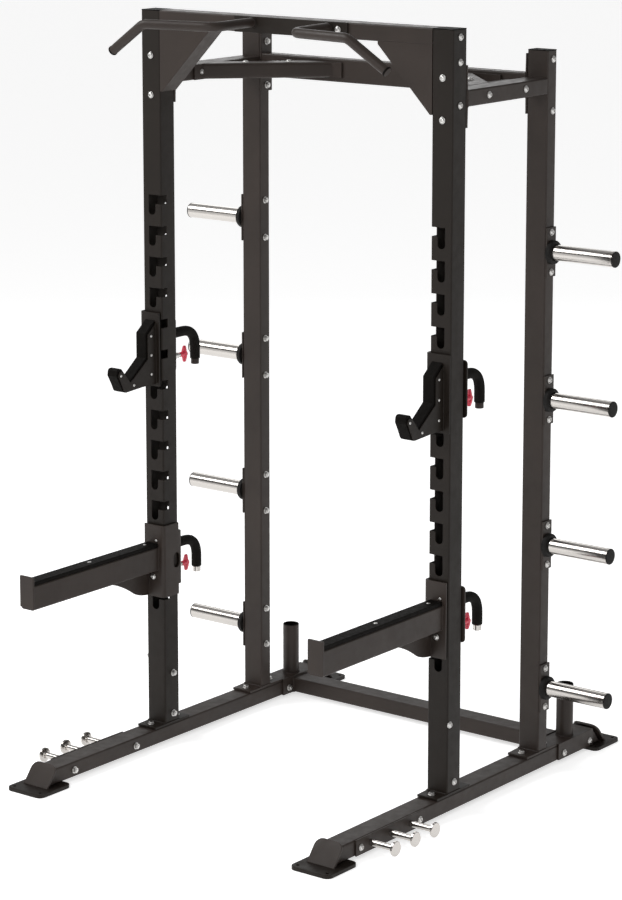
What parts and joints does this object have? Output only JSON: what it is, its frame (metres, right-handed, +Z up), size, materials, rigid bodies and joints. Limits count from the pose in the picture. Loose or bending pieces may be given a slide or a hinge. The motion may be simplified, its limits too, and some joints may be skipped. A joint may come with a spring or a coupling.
{
  "type": "power cage",
  "caption": "Open-front power cage with notched uprights, J-hooks, spotter arms, plate horns, band pegs and a bent pull-up bar.",
  "frame": {"origin": "on the floor, in the middle of the footprint", "axes": "+X to the cage's right seen from the open front, +Y from the open front to the rear, +Z up"},
  "size_m": [1.684, 1.588, 2.406],
  "materials": {
    "charcoal_steel": "satin powder coat",
    "graphite_steel": "satin powder coat",
    "chrome": "polished",
    "black_plastic": "matte",
    "rubber": "matte",
    "foam": "fine-grained foam",
    "red_knob": "satin"
  },
  "bodies": {
    "frame": {"left_base_rail": "graphite_steel", "left_front_foot": "graphite_steel", "left_rear_foot": "graphite_steel", "left_front_upright": "charcoal_steel", "left_rear_upright": "graphite_steel", "left_top_side_beam": "graphite_steel", "left_corner_brace": "graphite_steel", "left_bar_holder": "graphite_steel", "left_band_pegs": "chrome", "left_horn_1": "chrome", "left_horn_collar_1": "rubber", "left_horn_2": "chrome", "left_horn_collar_2": "rubber", "left_horn_3": "chrome", "left_horn_collar_3": "rubber", "left_horn_4": "chrome", "left_horn_collar_4": "rubber", "right_base_rail": "graphite_steel", "right_front_foot": "graphite_steel", "right_rear_foot": "graphite_steel", "right_front_upright": "charcoal_steel", "right_rear_upright": "graphite_steel", "right_top_side_beam": "graphite_steel", "right_corner_brace": "graphite_steel", "right_bar_holder": "graphite_steel", "right_band_pegs": "chrome", "right_horn_1": "chrome", "right_horn_collar_1": "rubber", "right_horn_2": "chrome", "right_horn_collar_2": "rubber", "right_horn_3": "chrome", "right_horn_collar_3": "rubber", "right_horn_4": "chrome", "right_horn_collar_4": "rubber", "floor_crossbar": "graphite_steel", "rear_top_beam": "graphite_steel", "front_top_beam": "graphite_steel", "pullup_bar": "charcoal_steel"},
    "left_hook": {"left_hook_bracket": "charcoal_steel", "left_hook_core": "black_plastic", "left_hook_liner": "black_plastic", "left_hook_grip": "foam"},
    "left_hook_pin": {"left_hook_pin": "red_knob"},
    "left_arm": {"left_arm_bracket": "graphite_steel", "left_arm_strip": "black_plastic", "left_arm_liner": "black_plastic", "left_arm_grip": "foam"},
    "left_arm_pin": {"left_arm_pin": "red_knob"},
    "right_hook": {"right_hook_bracket": "charcoal_steel", "right_hook_core": "black_plastic", "right_hook_liner": "black_plastic", "right_hook_grip": "foam"},
    "right_hook_pin": {"right_hook_pin": "red_knob"},
    "right_arm": {"right_arm_bracket": "graphite_steel", "right_arm_strip": "black_plastic", "right_arm_liner": "black_plastic", "right_arm_grip": "foam"},
    "right_arm_pin": {"right_arm_pin": "red_knob"}
  },
  "joints": [
    {"name": "left_hook_lift", "type": "slide", "parent": "frame", "child": "left_hook", "axis": [0, 0, 1], "range_m": [0, 0.038]},
    {"name": "left_hook_pin_pull", "type": "slide", "parent": "left_hook", "child": "left_hook_pin", "axis": [0, 1, 0], "range_m": [0, 0.012], "stiffness_N_per_m": 900, "springref_m": -0.012},
    {"name": "left_arm_lift", "type": "slide", "parent": "frame", "child": "left_arm", "axis": [0, 0, 1], "range_m": [0, 0.038]},
    {"name": "left_arm_pin_pull", "type": "slide", "parent": "left_arm", "child": "left_arm_pin", "axis": [0, 1, 0], "range_m": [0, 0.012], "stiffness_N_per_m": 900, "springref_m": -0.012},
    {"name": "right_hook_lift", "type": "slide", "parent": "frame", "child": "right_hook", "axis": [0, 0, 1], "range_m": [0, 0.038]},
    {"name": "right_hook_pin_pull", "type": "slide", "parent": "right_hook", "child": "right_hook_pin", "axis": [0, 1, 0], "range_m": [0, 0.012], "stiffness_N_per_m": 900, "springref_m": -0.012},
    {"name": "right_arm_lift", "type": "slide", "parent": "frame", "child": "right_arm", "axis": [0, 0, 1], "range_m": [0, 0.038]},
    {"name": "right_arm_pin_pull", "type": "slide", "parent": "right_arm", "child": "right_arm_pin", "axis": [0, 1, 0], "range_m": [0, 0.012], "stiffness_N_per_m": 900, "springref_m": -0.012}
  ]
}
